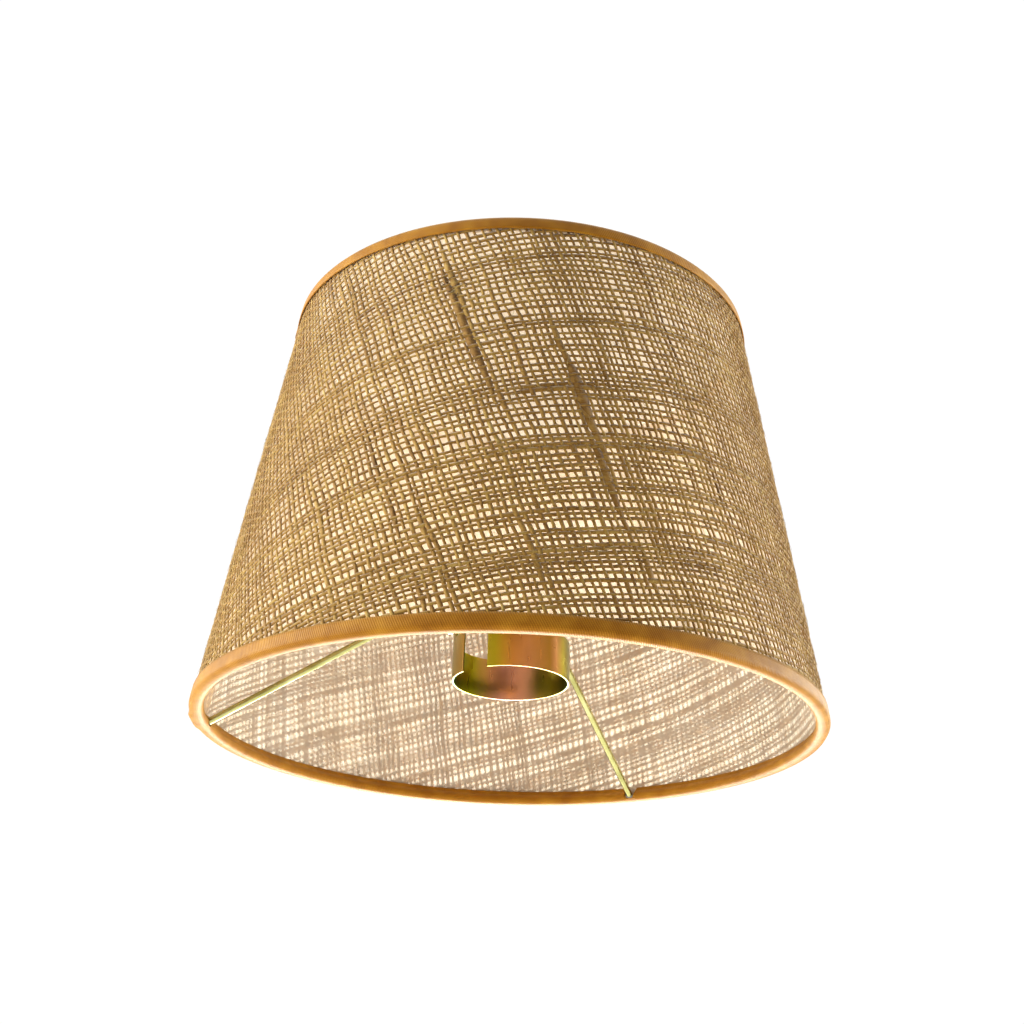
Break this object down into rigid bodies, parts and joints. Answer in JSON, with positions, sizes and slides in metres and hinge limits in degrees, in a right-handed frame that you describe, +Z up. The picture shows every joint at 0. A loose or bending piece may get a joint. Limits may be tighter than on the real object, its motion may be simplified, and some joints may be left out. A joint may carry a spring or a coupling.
{
  "type": "lamp shade",
  "caption": "Conical lamp shade of open-weave jute on a translucent liner, with taped wire rings at both rims and a split sleeve held on wire arms near the lower rim.",
  "frame": {"origin": "centre of the bottom rim's lowest face, on the shade's centre line", "axes": "+Z up the shade's centre line towards the smaller opening; -Y is the side with the sleeve's slit, towards -X of it; one arm lies close to -X"},
  "size_m": [0.22, 0.22, 0.157],
  "materials": {
    "ring_wire": "drawn steel wire, bright",
    "liner_film": "translucent milky shade film, satin",
    "jute": "natural undyed open plain weave",
    "tape": "ochre cotton twill tape, folded and glued",
    "yellow_zinc": "zinc plate with yellow chromate passivation, iridescent"
  },
  "bodies": {
    "root": {"bottom_ring": "ring_wire", "top_ring": "ring_wire", "liner": "liner_film", "jute_cover": "jute", "bottom_trim": "tape", "top_trim": "tape", "sleeve": "yellow_zinc", "arm_far": "yellow_zinc", "arm_left": "yellow_zinc", "arm_near": "yellow_zinc"}
  },
  "joints": []
}
